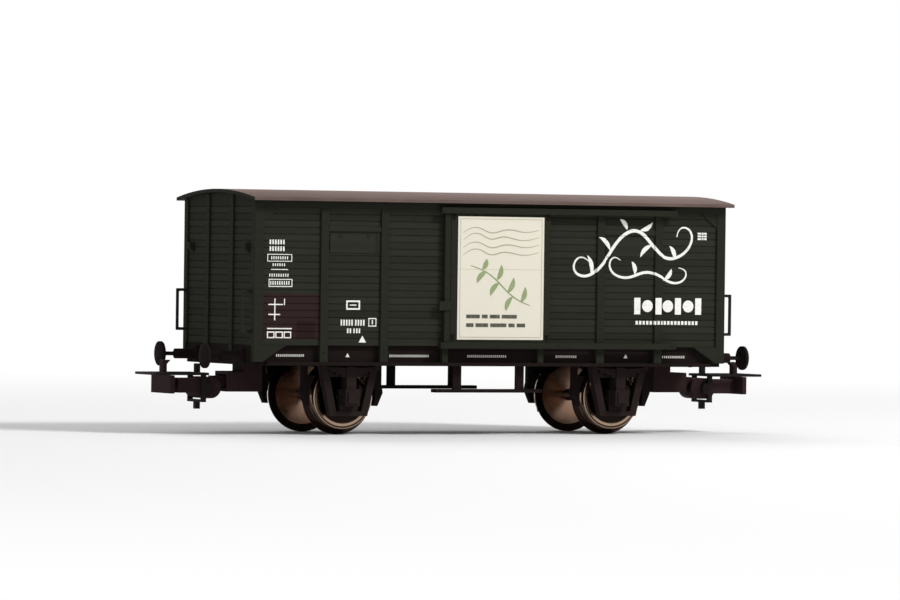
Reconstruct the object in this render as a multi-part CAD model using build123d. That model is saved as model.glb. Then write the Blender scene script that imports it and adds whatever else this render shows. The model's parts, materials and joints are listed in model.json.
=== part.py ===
"""H0 model (1:87) of a two-axle covered goods wagon with sliding doors and loop couplers.

Millimetres, +Z up. The origin is on the floor under the wagon's middle, at the foot of the wheel flanges.
X runs along the wagon, the near side is at -Y. The far side is the near side turned half round about Z.
"""
import os
from math import sqrt

from build123d import *

# Running gear
wheelbase = 51.7
tread_diameter = 11.0
flange_depth = 1.0
wheel_width = 2.8
flange_width = 0.9
flange_crest = 0.35
back_to_back = 14.4
rim_depth = 0.95
web_recess = 0.6
axle_radius = 1.0
axle_length = 24.4
axle_taper = 2.0
bearing_clearance = 0.09

# Body shell
body_length = 90.2
body_width = 31.4
post_relief = 0.35
wall_thickness = 1.0
end_thickness = 0.9
floor_top = 15.45
floor_thickness = 0.8
plank_count = 21
groove_width = 0.26
groove_depth = 0.16
fit_gap = 0.03

# Roof
roof_edge_underside = 40.05
roof_rise = 1.45
roof_thickness = 0.6
roof_side_overhang = 1.7
roof_end_overhang = 0.85

# Side posts, gussets and hatches
post_width = 1.5
corner_post_width = 1.7
corner_return = 1.2
jamb_width = 1.1
outer_post_x = 32.0
inner_post_x = 20.7
end_post_y = 5.3
end_post_drop = 1.2
foot_gusset_reach = 4.4
top_gusset_width = 3.2
top_gusset_height = 2.6
gusset_relief = 0.2
hatch_height = 3.4
hatch_bottom = 31.3
hatch_relief = 0.15
hatch_margin = 0.25
drip_gap = 0.3
drip_height = 0.85
drip_relief = 0.25
latch_width = 2.2
latch_height = 1.6
latch_bottom = 21.6
latch_relief = 0.3

# Doors and their rails
door_opening = 17.2
door_width = 19.0
door_leaf_thickness = 0.55
door_board_relief = 0.1
door_stile_width = 1.25
door_board_bottom = 16.6
door_board_top = 37.9
door_travel = 18.0
door_gap = 0.1
rail_lip = 0.4
rail_web = 0.4
rail_height = 1.05
rail_lead = 2.0
rail_overrun = 6.5
lower_rail_bottom = 15.05
upper_rail_drop = 0.89

# Underframe
solebar_web = 0.6
solebar_bottom = 12.0
solebar_inset = 1.1
flange_thickness = 0.6
solebar_flange_inset = 2.6
sill_y = 2.3
sill_width = 0.8
sill_bottom = 12.6
cross_sill_x = 12.5
ballast_length = 60.0
ballast_width = 22.0
ballast_thickness = 1.5

# Axle guards with springs and axle boxes
guard_inner_y = 11.2
guard_thickness = 1.2
guard_top_width = 10.9
guard_foot_width = 6.9
guard_foot_z = 3.3
guard_leg_width = 1.3
guard_leg_relief = 0.3
tie_bar_height = 0.8
axle_box_width = 2.6
axle_box_height = 2.8
axle_box_depth = 1.9
axle_box_lid = 0.25
axle_box_margin = 0.4
horn_width = 0.35
spring_leaves = 4
spring_leaf_thickness = 0.4
spring_width = 1.1
spring_radius = 60.0
spring_half_length = 5.0
spring_step = 1.1
spring_lift = 2.1
buckle_width = 1.8
bracket_width = 0.9

# Brake shoes
shoe_radius = 6.2
shoe_thickness = 1.5
shoe_width = 1.4
shoe_centre_y = 9.1
shoe_foot_z = 4.95
shoe_tip = 0.5
shoe_taper_z = 7.3
shoe_top_z = 10.2
hanger_width = 0.9

# Step boards under the doors
step_length = 20.4
step_width = 2.0
step_thickness = 0.6
step_top = 8.0
step_centre_y = 13.2
step_hanger_x = 6.0
step_hanger_width = 1.6
step_hanger_thickness = 0.5

# Buffers, lengths counted from the headstock outwards
buffer_spacing = 20.1
buffer_z = 13.5
buffer_length = 7.35
buffer_base_width = 2.8
buffer_base_thickness = 0.6
buffer_sleeve_diameter = 1.75
buffer_sleeve_length = 4.2
buffer_stem_diameter = 0.7
buffer_head_diameter = 4.25
buffer_head_thickness = 0.7
buffer_head_crown = 0.15

# Grab handles and lamp brackets on the ends
handle_bottom = 17.5
handle_top = 24.8
handle_reach = 1.9
handle_bar = 0.5
handle_y = 14.4
lamp_bracket_y = 12.3
lamp_bracket_z = 31.0
lamp_bracket_width = 1.2
lamp_bracket_height = 1.8
lamp_bracket_depth = 0.6

# Couplers, lengths counted from the swing pin outwards
swing_pin_inset = 4.7
swing_pin_radius = 0.6
swing_clearance = 0.1
pocket_rear = 2.6
pocket_mouth = 4.0
pocket_half_width = 2.7
pocket_wall = 0.6
pocket_bottom = 7.2
pocket_top = 10.7
pocket_stem_length = 3.4
shank_half_width = 1.0
shank_bottom = 8.0
shank_top = 9.9
shank_eye_radius = 1.5
head_rear = 6.0
head_front = 13.0
head_half_width = 2.5
head_bottom = 7.0
head_top = 9.5
belly_radius = 1.85
belly_reach = 1.15
neck_half_width = 1.3
plate_rear = 14.4
plate_thickness = 0.8
plate_half_width = 4.4
plate_bottom = 6.9
plate_top = 10.0
hook_top = 12.6
hook_half_width = 0.8
hook_barb = 0.7
loop_pivot = 8.0
loop_pivot_z = 7.9
loop_pin_radius = 0.45
loop_clearance = 0.1
loop_front = 18.2
loop_bar = 0.45
loop_rest_z = 10.05
ear_gap = 0.2
ear_thickness = 0.5
ear_radius = 0.95
ear_chamfer = 0.4
lug_height = 1.5
lug_width = 0.9
tail_bottom = 4.2
tail_width = 1.0
strap_thickness = 0.45

# Values worked out from the driving dimensions
axle_z = tread_diameter / 2 + flange_depth
half_body = body_length / 2
half_width = body_width / 2
plank_face_x = half_body - post_relief
plank_face_y = half_width - post_relief
wall_inner_y = plank_face_y - wall_thickness
end_inner_x = plank_face_x - end_thickness
floor_bottom = floor_top - floor_thickness
roof_half_width = half_width + roof_side_overhang
roof_radius = (roof_half_width**2 + roof_rise**2) / (2 * roof_rise)
roof_centre_z = roof_edge_underside + roof_rise - roof_radius
solebar_y = half_width - solebar_inset
flange_top = solebar_bottom + flange_thickness
leaf_inner_y = half_width + door_gap
leaf_outer_y = leaf_inner_y + door_leaf_thickness
board_outer_y = leaf_outer_y + door_board_relief
rail_inner_y = board_outer_y + door_gap
rail_outer_y = rail_inner_y + rail_lip
door_left_x = door_gap / 2 - door_opening / 2
door_right_x = door_left_x + door_width
rail_reach = door_right_x + door_travel + rail_overrun
guard_outer_y = guard_inner_y + guard_thickness
jamb_x = (door_opening + jamb_width) / 2
swing_pin_x = half_body - swing_pin_inset


def roof_underside(y):
    """Height of the roof's underside at a distance y from the middle."""
    return roof_centre_z + sqrt(roof_radius**2 - y**2)


wall_top = roof_underside(half_width) - fit_gap
plank_pitch = (wall_top - floor_top) / plank_count
upper_rail_top = wall_top - upper_rail_drop


def block(x0, x1, y0, y1, z0, z1):
    """Box between two corners."""
    centre = ((x0 + x1) / 2, (y0 + y1) / 2, (z0 + z1) / 2)
    return Pos(*centre) * Box(abs(x1 - x0), abs(y1 - y0), abs(z1 - z0))


def plate_xz(points, y0, y1):
    """Outline of (x, z) points, as thick as from y0 to y1."""
    face = make_face(Polyline(*points, close=True))
    return extrude(Plane.XZ.offset(-y1) * face, y1 - y0)


def rod_y(x, z, radius, y0, y1):
    """Round rod along Y."""
    return extrude(Plane.XZ.offset(-y1) * Pos(x, z) * Circle(radius), y1 - y0)


def rod_z(x, y, radius, z0, z1):
    """Round rod along Z."""
    return extrude(Plane.XY.offset(z0) * Pos(x, y) * Circle(radius), z1 - z0)


def fused(pieces):
    """One solid of pieces that meet."""
    return pieces[0] + pieces[1:]


def turned(shape):
    """The same piece on the other side, turned half round about Z."""
    return Rot(0, 0, 180) * shape


def mirrored_x(shape):
    """The same piece at the other end, mirrored in the wagon's middle."""
    return mirror(shape, Plane.YZ)


def mirrored_y(shape):
    """The same piece on the other side, mirrored in the wagon's long middle plane."""
    return mirror(shape, Plane.XZ)


def save(node, *solids):
    """Writes a node of one or more solids that don't touch."""
    shape = solids[0] if len(solids) == 1 else Compound(children=[s.solid() for s in solids])
    export_step(shape, f"parts/{node}.step")


def planked_face(face, top):
    """Outline points (depth, z) up a planked face, with a V-groove at each seam."""
    points = [(face, floor_top)]
    for k in range(1, plank_count):
        z = floor_top + k * plank_pitch
        points += [(face, z - groove_width / 2), (face - groove_depth, z), (face, z + groove_width / 2)]
    return points + [(face, top)]


# Side walls: planks left and right of the door, with a hatch and its drip strip in the bay between the posts
def side_planks(x0, x1):
    outline = planked_face(plank_face_y, wall_top) + [(wall_inner_y, wall_top), (wall_inner_y, floor_top)]
    profile = make_face(Polyline(*[(-y, z) for y, z in outline], close=True))
    panel = extrude(Plane.YZ.offset(x0) * profile, x1 - x0)
    side = 1 if x0 > 0 else -1
    reach = post_width / 2 + hatch_margin
    hatch = block(
        side * (inner_post_x + reach), side * (outer_post_x - reach),
        -plank_face_y - hatch_relief, groove_depth - plank_face_y, hatch_bottom, hatch_bottom + hatch_height,
    )
    drip_bottom = hatch_bottom + hatch_height + drip_gap
    edge = post_width / 2 + fit_gap
    drip = block(
        side * (inner_post_x + edge), side * (outer_post_x - edge),
        -plank_face_y - drip_relief, groove_depth - plank_face_y, drip_bottom, drip_bottom + drip_height,
    )
    return panel + hatch + drip


# Side frame: cant rail, corner posts, posts with feet on the solebar, jambs, gussets, door stop and latch
def side_frame():
    def upright(x, width, foot=True):
        pieces = [block(x - width / 2, x + width / 2, -half_width, -plank_face_y, floor_top, wall_top)]
        if foot:
            pieces.append(block(x - width / 2, x + width / 2, -half_width, -solebar_y, flange_top, floor_top))
        return pieces

    rail_bottom = upper_rail_top - rail_web
    pieces = [block(-half_body, half_body, -half_width, -plank_face_y, rail_bottom, wall_top)]
    for x in (-outer_post_x, -inner_post_x, inner_post_x, outer_post_x):
        pieces += upright(x, post_width)
    for x in (-jamb_x, jamb_x):
        pieces += upright(x, jamb_width)
    for end in (-1, 1):
        corner_x = end * (half_body - corner_post_width / 2)
        pieces += upright(corner_x, corner_post_width, foot=False)
        pieces.append(block(
            end * plank_face_x, end * half_body, -plank_face_y, corner_return - plank_face_y,
            floor_top, wall_top,
        ))
        inner = half_body - corner_post_width
        foot = [
            (end * half_body, floor_top), (end * (inner - foot_gusset_reach), floor_top),
            (end * inner, flange_top), (end * half_body, flange_top),
        ]
        pieces.append(plate_xz(foot, -half_width, -solebar_y))
        brace = [
            (end * inner, rail_bottom), (end * (inner - top_gusset_width), rail_bottom),
            (end * inner, rail_bottom - top_gusset_height),
        ]
        pieces.append(plate_xz(brace, -plank_face_y - gusset_relief, -plank_face_y))
    stop = block(
        -jamb_x - jamb_width / 2, -jamb_x + jamb_width / 2, -leaf_outer_y, -half_width,
        lower_rail_bottom + rail_height, upper_rail_top - rail_height,
    )
    latch_right = jamb_width / 2 - jamb_x
    latch = block(
        latch_right - latch_width, latch_right, -leaf_outer_y - latch_relief, -leaf_outer_y,
        latch_bottom, latch_bottom + latch_height,
    )
    return fused(pieces + [stop, latch])


# Sliding door: leaf between the rails, with stiles and a flat board for a sign
def door():
    bottom = lower_rail_bottom + rail_web + door_gap
    top = upper_rail_top - rail_web - door_gap
    leaf = block(door_left_x, door_right_x, -leaf_outer_y, -leaf_inner_y, bottom, top)
    board = block(
        door_left_x + door_stile_width, door_right_x - door_stile_width,
        -board_outer_y, -leaf_outer_y, door_board_bottom, door_board_top,
    )
    return leaf + board


# Door rails: channels that hold the leaf's top and bottom edge
def door_rails():
    x0 = -door_opening / 2 - rail_lead
    upper_bottom = upper_rail_top - rail_height
    lower_top = lower_rail_bottom + rail_height
    upper = block(x0, rail_reach, -rail_outer_y, -half_width, upper_rail_top - rail_web, upper_rail_top)
    upper += block(x0, rail_reach, -rail_outer_y, -rail_inner_y, upper_bottom, upper_rail_top)
    lower = block(x0, rail_reach, -rail_outer_y, -half_width, lower_rail_bottom, lower_rail_bottom + rail_web)
    lower += block(x0, rail_reach, -rail_outer_y, -rail_inner_y, lower_rail_bottom, lower_top)
    return upper, lower


# End wall: arched planked panel
def end_wall():
    reach = wall_inner_y - fit_gap
    spring_z = roof_underside(reach) - fit_gap
    crown_z = roof_underside(0) - fit_gap
    edges = [
        Line((-reach, floor_top), (reach, floor_top)),
        Line((reach, floor_top), (reach, spring_z)),
        ThreePointArc((reach, spring_z), (0, crown_z), (-reach, spring_z)),
        Line((-reach, spring_z), (-reach, floor_top)),
    ]
    arch = extrude(Plane.YZ.offset(end_inner_x) * make_face(edges), end_thickness)
    outline = planked_face(plank_face_x, crown_z) + [(end_inner_x, crown_z), (end_inner_x, floor_top)]
    return arch & plate_xz(outline, -reach, reach)


# End post on the planks, down over the headstock's upper edge
def end_post():
    y0, y1 = end_post_y - post_width / 2, end_post_y + post_width / 2
    post_top = roof_underside(y1) - fit_gap
    return block(plank_face_x, half_body, y0, y1, floor_top - end_post_drop, post_top)


# Roof: one arched sheet over sides and ends
def roof():
    edge_top = roof_edge_underside + roof_thickness
    crown = roof_edge_underside + roof_rise
    w = roof_half_width
    edges = [
        ThreePointArc((-w, roof_edge_underside), (0, crown), (w, roof_edge_underside)),
        Line((w, roof_edge_underside), (w, edge_top)),
        ThreePointArc((w, edge_top), (0, crown + roof_thickness), (-w, edge_top)),
        Line((-w, edge_top), (-w, roof_edge_underside)),
    ]
    length = body_length + 2 * roof_end_overhang
    return extrude(Plane.YZ.offset(-length / 2) * make_face(edges), length)


# Underframe: solebar with its bottom flange, and the headstock across the end
def solebar():
    web = block(
        -end_inner_x, end_inner_x, -solebar_y, solebar_web - solebar_y, solebar_bottom, floor_bottom,
    )
    half_flange = half_body - solebar_flange_inset
    return web + block(-half_flange, half_flange, -half_width, -solebar_y, solebar_bottom, flange_top)


def headstock():
    return block(end_inner_x, plank_face_x, -solebar_y, solebar_y, solebar_bottom, floor_top)


# Floor with two long sills between the couplers' pockets and two cross sills between the solebars
def floor_board():
    pieces = [block(-end_inner_x, end_inner_x, -solebar_y, solebar_y, floor_bottom, floor_top)]
    sill_reach = swing_pin_x - pocket_rear
    cross_reach = solebar_y - solebar_web
    for side in (-1, 1):
        y0 = side * sill_y - sill_width / 2
        pieces.append(block(-sill_reach, sill_reach, y0, y0 + sill_width, sill_bottom, floor_bottom))
        x0 = side * cross_sill_x - sill_width / 2
        pieces.append(block(x0, x0 + sill_width, -cross_reach, cross_reach, sill_bottom, floor_bottom))
    return fused(pieces)


def ballast():
    half_l, half_w = ballast_length / 2, ballast_width / 2
    return block(-half_l, half_l, -half_w, half_w, floor_top, floor_top + ballast_thickness)


# Axle guard: open plate on two legs with leaf spring, brackets and axle box, near side at X = 0
def axle_guard():
    top, foot = guard_top_width / 2, guard_foot_width / 2
    outline = [
        (-top, floor_bottom), (top, floor_bottom), (top, solebar_bottom),
        (foot, guard_foot_z), (-foot, guard_foot_z), (-top, solebar_bottom),
    ]
    front = -guard_outer_y
    pieces = [plate_xz(outline, front, -guard_inner_y)]
    relief = front - guard_leg_relief
    for side in (-1, 1):
        leg = [
            (side * top, solebar_bottom), (side * foot, guard_foot_z),
            (side * (foot - guard_leg_width), guard_foot_z), (side * (top - guard_leg_width), solebar_bottom),
        ]
        pieces.append(plate_xz(leg, relief, front))
    window_foot = guard_foot_z + tie_bar_height
    pieces.append(block(-foot, foot, relief, front, guard_foot_z, window_foot))
    half_box, box_front = axle_box_width / 2, front - axle_box_depth
    box_bottom, box_top = axle_z - axle_box_height / 2, axle_z + axle_box_height / 2
    pieces.append(block(-half_box, half_box, box_front, front, box_bottom, box_top))
    half_lid = half_box - axle_box_margin
    pieces.append(block(
        -half_lid, half_lid, box_front - axle_box_lid, box_front,
        box_bottom + axle_box_margin, box_top - axle_box_margin,
    ))
    spring_z = box_top + spring_lift
    for k in range(spring_leaves):
        half_length = spring_half_length - spring_step * (spring_leaves - 1 - k)
        inner = spring_radius - (k + 1) * spring_leaf_thickness
        centre_z = spring_z + spring_radius
        leaf = spring_leaf(half_length, inner, inner + spring_leaf_thickness, centre_z)
        pieces.append(extrude(Plane.XZ.offset(-front) * leaf, spring_width))
    stack = spring_leaves * spring_leaf_thickness
    pieces.append(block(
        -buckle_width / 2, buckle_width / 2, front - spring_width - spring_leaf_thickness / 2, front,
        box_top, spring_z + stack + spring_leaf_thickness / 2,
    ))
    for side in (-1, 1):
        inner = side * (spring_half_length - bracket_width / 2)
        pieces.append(block(
            inner, inner + side * bracket_width, front - spring_width, front,
            spring_z + stack - spring_leaf_thickness, floor_bottom,
        ))
    slope = (top - foot) / (solebar_bottom - guard_foot_z)
    cheek, pillar = half_box + horn_width, buckle_width / 2
    narrow = foot - guard_leg_width + slope * tie_bar_height
    wide = foot - guard_leg_width + slope * (spring_z - guard_foot_z)
    windows = []
    for side in (-1, 1):
        window = [
            (side * cheek, window_foot), (side * narrow, window_foot), (side * wide, spring_z),
            (side * pillar, spring_z), (side * pillar, box_top), (side * cheek, box_top),
        ]
        windows.append(plate_xz(window, front, -guard_inner_y))
    return fused(pieces) - windows - axle_point(bearing_clearance)


def spring_leaf(half_length, inner, outer, centre_z):
    """Curved strip that rises to both ends, as an outline in (x, z)."""
    def ends(radius):
        return half_length, centre_z - sqrt(radius**2 - half_length**2)

    x, z_low = ends(outer)
    _, z_high = ends(inner)
    edges = [
        ThreePointArc((-x, z_low), (0, centre_z - outer), (x, z_low)),
        Line((x, z_low), (x, z_high)),
        ThreePointArc((x, z_high), (0, centre_z - inner), (-x, z_high)),
        Line((-x, z_high), (-x, z_low)),
    ]
    return make_face(edges)


def axle_point(clearance):
    """Cone of the axle's pointed end on the near side, at X = 0."""
    tip = -axle_length / 2
    neck = tip + axle_taper
    slant = sqrt(axle_radius**2 + axle_taper**2)
    points = [
        (neck, 0), (neck, axle_radius + clearance * slant / axle_taper),
        (tip - clearance * slant / axle_radius, 0),
    ]
    cone = revolve(Plane.YZ * make_face(Polyline(*points, close=True)), Axis.Y)
    return Pos(0, 0, axle_z) * cone


# Wheelset: axle with pointed ends and two wheels, at X = 0
def axle():
    neck = axle_length / 2 - axle_taper
    point = axle_point(0)
    return rod_y(0, axle_z, axle_radius, -neck, neck) + point + turned(point)


def wheel():
    back = back_to_back / 2
    front = back + wheel_width
    tread = tread_diameter / 2
    flange = tread + flange_depth
    rim = tread - rim_depth
    points = [
        (back, axle_radius), (back, flange), (back + flange_crest, flange), (back + flange_width, tread),
        (front, tread), (front, rim), (front - web_recess, rim), (front - web_recess, axle_radius),
    ]
    outline = [(-y, r) for y, r in points]
    disc = revolve(Plane.YZ * make_face(Polyline(*outline, close=True)), Axis.Y)
    return Pos(0, 0, axle_z) * disc


# Brake shoe on its hanger, tapered to its foot, near side, to the right of an axle at X = 0
def brake_shoe():
    y0, y1 = -shoe_centre_y - shoe_width / 2, -shoe_centre_y + shoe_width / 2
    outer = shoe_radius + shoe_thickness
    ring = rod_y(0, axle_z, outer, y0, y1) - rod_y(0, axle_z, shoe_radius, y0, y1)
    outline = [
        (0, shoe_foot_z), (shoe_radius + shoe_tip, shoe_foot_z), (outer, shoe_taper_z),
        (outer, shoe_top_z), (0, shoe_top_z),
    ]
    shoe = ring & plate_xz(outline, y0, y1)
    hanger_x = (shoe_radius + outer - hanger_width) / 2
    hanger = block(hanger_x, hanger_x + hanger_width, y0, y1, shoe_taper_z, floor_bottom)
    return shoe + hanger


# Step board under a door, on two hangers from the solebar
def step_board():
    half = step_length / 2
    board = block(
        -half, half, -step_centre_y - step_width / 2, -step_centre_y + step_width / 2,
        step_top - step_thickness, step_top,
    )
    hanger_y = solebar_web - solebar_y
    hangers = [
        block(
            x - step_hanger_width / 2, x + step_hanger_width / 2,
            hanger_y, hanger_y + step_hanger_thickness, step_top, floor_bottom,
        )
        for x in (-step_hanger_x, step_hanger_x)
    ]
    return board + hangers


# Buffer: square base, sleeve, stem and crowned head, revolved about its own axis
def buffer():
    sleeve, stem, head = buffer_sleeve_diameter / 2, buffer_stem_diameter / 2, buffer_head_diameter / 2
    back = buffer_length - buffer_head_thickness
    rim = buffer_length - buffer_head_crown
    edges = Polyline(
        (buffer_length, 0), (0, 0), (0, sleeve), (buffer_sleeve_length, sleeve),
        (buffer_sleeve_length, stem), (back, stem), (back, head), (rim, head),
    )
    crown_radius = (head**2 + buffer_head_crown**2) / (2 * buffer_head_crown)
    middle = (buffer_length - crown_radius + sqrt(crown_radius**2 - (head / 2) ** 2), head / 2)
    crown = ThreePointArc((rim, head), middle, (buffer_length, 0))
    turning = revolve(make_face([edges, crown]), Axis.X)
    half_base = buffer_base_width / 2
    return turning + block(0, buffer_base_thickness, -half_base, half_base, -half_base, half_base)


# Grab handle and lamp bracket on the right-hand end, near corner
def grab_handle():
    y0, y1 = -handle_y - handle_bar / 2, -handle_y + handle_bar / 2
    outer = half_body + handle_reach
    bar = block(outer - handle_bar, outer, y0, y1, handle_bottom, handle_top)
    low = block(half_body, outer, y0, y1, handle_bottom, handle_bottom + handle_bar)
    high = block(half_body, outer, y0, y1, handle_top - handle_bar, handle_top)
    return bar + low + high


def lamp_bracket():
    tip = half_body + lamp_bracket_depth
    top = lamp_bracket_z + lamp_bracket_height
    outline = [
        (plank_face_x, lamp_bracket_z), (tip, top - lamp_bracket_height / 2), (tip, top), (plank_face_x, top),
    ]
    half = lamp_bracket_width / 2
    return plate_xz(outline, -lamp_bracket_y - half, -lamp_bracket_y + half)


# Coupler pocket: hollow box under the floor, open at the mouth, with the swing pin at X = 0
def coupler_pocket():
    box = block(
        -pocket_rear, pocket_mouth, -pocket_half_width, pocket_half_width, pocket_bottom, pocket_top,
    )
    hollow_width = pocket_half_width - pocket_wall
    hollow = block(
        pocket_wall - pocket_rear, pocket_mouth, -hollow_width, hollow_width,
        pocket_bottom + pocket_wall, pocket_top - pocket_wall,
    )
    pin = rod_z(0, 0, swing_pin_radius, pocket_bottom, pocket_top)
    stem = block(
        -pocket_rear, pocket_stem_length - pocket_rear, -pocket_half_width, pocket_half_width,
        pocket_top, floor_bottom,
    )
    return box - hollow + pin + stem


# Coupler head: shank with its eye on the swing pin, head with a long round belly, front plate and hook
def coupler_head():
    plate_front = plate_rear + plate_thickness
    shank = block(0, head_rear, -shank_half_width, shank_half_width, shank_bottom, shank_top)
    eye = rod_z(0, 0, shank_eye_radius, shank_bottom, shank_top)
    head = block(head_rear, head_front, -head_half_width, head_half_width, head_bottom, head_top)
    bellies = [
        rod_y(x, loop_pivot_z, belly_radius, -head_half_width, head_half_width)
        for x in (loop_pivot - belly_reach, loop_pivot)
    ]
    bellies.append(block(
        loop_pivot - belly_reach, loop_pivot, -head_half_width, head_half_width,
        loop_pivot_z - belly_radius, loop_pivot_z + belly_radius,
    ))
    neck = block(head_front, plate_rear, -neck_half_width, neck_half_width, head_bottom, head_top)
    plate = block(plate_rear, plate_front, -plate_half_width, plate_half_width, plate_bottom, plate_top)
    outline = [
        (plate_rear, plate_top), (plate_front, plate_top), (plate_front, hook_top),
        (plate_rear - hook_barb, hook_top), (plate_rear, hook_top - hook_barb),
    ]
    hook = plate_xz(outline, -hook_half_width, hook_half_width)
    pin_hole = rod_z(0, 0, swing_pin_radius + swing_clearance, shank_bottom, shank_top)
    pivot_hole = rod_y(
        loop_pivot, loop_pivot_z, loop_pin_radius + loop_clearance, -head_half_width, head_half_width,
    )
    return fused([shank, eye, head, *bellies, neck, plate, hook]) - pin_hole - pivot_hole


# Coupler loop: bail over the hook plate, eight-sided ears on a pin through the head, and a tail to lift it by
def coupler_loop():
    ear_inner = head_half_width + ear_gap
    ear_outer = ear_inner + ear_thickness
    arm_inner = plate_half_width - loop_bar
    bar_top = loop_rest_z + loop_bar
    rear = loop_pivot + ear_radius - lug_width
    front = loop_pivot + ear_radius
    strap_top = loop_pivot_z - belly_radius - ear_gap
    strap_bottom = strap_top - strap_thickness
    pieces = [
        block(loop_front - loop_bar, loop_front, -plate_half_width, plate_half_width, loop_rest_z, bar_top),
        block(rear, front, -plate_half_width, plate_half_width, loop_rest_z, bar_top),
        block(rear, front, -lug_width / 2, lug_width / 2, bar_top, bar_top + lug_height),
        block(rear, front, -ear_outer, ear_outer, strap_bottom, strap_top),
        block(rear, front, -tail_width / 2, tail_width / 2, tail_bottom, strap_bottom),
        rod_y(loop_pivot, loop_pivot_z, loop_pin_radius, -ear_inner, ear_inner),
    ]
    inset = ear_radius - ear_chamfer
    corners = [
        (ear_radius, -inset), (ear_radius, inset), (inset, ear_radius), (-inset, ear_radius),
        (-ear_radius, inset), (-ear_radius, -inset), (-inset, -ear_radius), (inset, -ear_radius),
    ]
    outline = [(loop_pivot + x, loop_pivot_z + z) for x, z in corners]
    for side in (-1, 1):
        y0, y1 = sorted((side * ear_inner, side * ear_outer))
        pieces += [
            block(rear, loop_front, side * arm_inner, side * plate_half_width, loop_rest_z, bar_top),
            plate_xz(outline, y0, y1),
            block(rear, front, y0, y1, strap_bottom, loop_rest_z),
        ]
    return fused(pieces)


# The nodes
os.makedirs("parts", exist_ok=True)

planks_left = side_planks(-plank_face_x, -door_opening / 2)
planks_right = side_planks(door_opening / 2, plank_face_x)
rails = door_rails()
save("side_planks_near", planks_left, planks_right)
save("side_planks_far", turned(planks_left), turned(planks_right))
save("side_frame_near", side_frame())
save("side_frame_far", turned(side_frame()))
save("door_near", door())
save("door_far", turned(door()))
save("door_rails_near", *rails)
save("door_rails_far", *[turned(rail) for rail in rails])
save("roof", roof())
save("floor_board", floor_board())
save("ballast_plate", ballast())
save("solebar_near", solebar())
save("solebar_far", turned(solebar()))
save("step_board_near", step_board())
save("step_board_far", turned(step_board()))

ends = {
    # end name: how a piece made for the right-hand end comes to this end
    "right": lambda shape: shape,
    "left": turned,
}
coupler_pieces = {"pocket": coupler_pocket(), "head": coupler_head(), "loop": coupler_loop()}
for end, placed in ends.items():
    save(f"end_wall_{end}", placed(end_wall()))
    save(f"end_posts_{end}", placed(end_post()), placed(mirrored_y(end_post())))
    save(f"headstock_{end}", placed(headstock()))
    save(f"grab_handles_{end}", placed(grab_handle()), placed(mirrored_y(grab_handle())))
    save(f"lamp_brackets_{end}", placed(lamp_bracket()), placed(mirrored_y(lamp_bracket())))
    for name, made in coupler_pieces.items():
        save(f"coupler_{name}_{end}", placed(Pos(swing_pin_x, 0, 0) * made))

sides = {
    # side name: Y direction, mirror for a piece made for the near side
    "near": (-1, lambda shape: shape),
    "far": (1, mirrored_y),
}
for end, direction in (("left", -1), ("right", 1)):
    axle_x = direction * wheelbase / 2
    save(f"axle_{end}", Pos(axle_x, 0, 0) * axle())
    shoes = []
    for side, (y_sign, placed) in sides.items():
        save(f"wheel_{side}_{end}", Pos(axle_x, 0, 0) * placed(wheel()))
        save(f"axle_guard_{side}_{end}", Pos(axle_x, 0, 0) * placed(axle_guard()))
        for shoe in (brake_shoe(), mirrored_x(brake_shoe())):
            shoes.append(Pos(axle_x, 0, 0) * placed(shoe))
        knob = Pos(plank_face_x, y_sign * buffer_spacing / 2, buffer_z) * buffer()
        save(f"buffer_{side}_{end}", knob if direction > 0 else mirrored_x(knob))
    save(f"brake_shoes_{end}", *shoes)
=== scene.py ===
import json
import math

import bpy
from mathutils import Matrix, Quaternion, Vector
from mathutils.bvhtree import BVHTree


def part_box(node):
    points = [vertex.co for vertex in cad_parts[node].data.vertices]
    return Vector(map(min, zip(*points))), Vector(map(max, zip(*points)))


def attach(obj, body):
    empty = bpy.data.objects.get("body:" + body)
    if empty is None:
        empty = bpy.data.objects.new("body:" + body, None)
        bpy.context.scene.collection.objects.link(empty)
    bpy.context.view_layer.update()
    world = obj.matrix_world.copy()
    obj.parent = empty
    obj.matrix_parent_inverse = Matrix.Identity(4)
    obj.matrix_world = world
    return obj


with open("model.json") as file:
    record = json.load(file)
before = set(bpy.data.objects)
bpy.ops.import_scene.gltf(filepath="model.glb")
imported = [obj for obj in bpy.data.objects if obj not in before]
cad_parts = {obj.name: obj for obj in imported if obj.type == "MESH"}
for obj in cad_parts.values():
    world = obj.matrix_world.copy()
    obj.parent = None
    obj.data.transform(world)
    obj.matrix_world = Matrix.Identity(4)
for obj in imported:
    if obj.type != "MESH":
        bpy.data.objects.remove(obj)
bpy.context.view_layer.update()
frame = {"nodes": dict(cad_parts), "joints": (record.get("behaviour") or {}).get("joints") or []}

# Underframe
# Floor, solebars and headstocks of the chassis, one moulding of black-brown polystyrene, dyed right through.
# The mould was spark eroded, which leaves a satin skin with a fine, slightly uneven grain.
MM = 0.001
CLOUD_WIDTH, GRAIN_WIDTH, GRAIN_DEPTH = 6 * MM, 0.12 * MM, 0.02 * MM
PLASTIC_GLOSS_SPREAD = 0.06
WELD_REACH = 0.002 * MM
FLAT_WITHIN, SHARP_FROM = math.radians(0.5), math.radians(40)
MOULDED_EDGE = 0.08
# Most of a noise texture lies between these values
NOISE_LOW, NOISE_HIGH = 0.3, 0.7
# The Mix node's colour sockets share their names with others, so they are reached by number
COLOUR_A, COLOUR_B, COLOUR_OUT = 6, 7, 2


def linear(hex_colour):
    """sRGB hex value as linear red, green, blue and alpha."""
    channels = [int(hex_colour[i:i + 2], 16) / 255 for i in (1, 3, 5)]
    return *(c / 12.92 if c <= 0.04045 else ((c + 0.055) / 1.055) ** 2.4 for c in channels), 1.0


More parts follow.
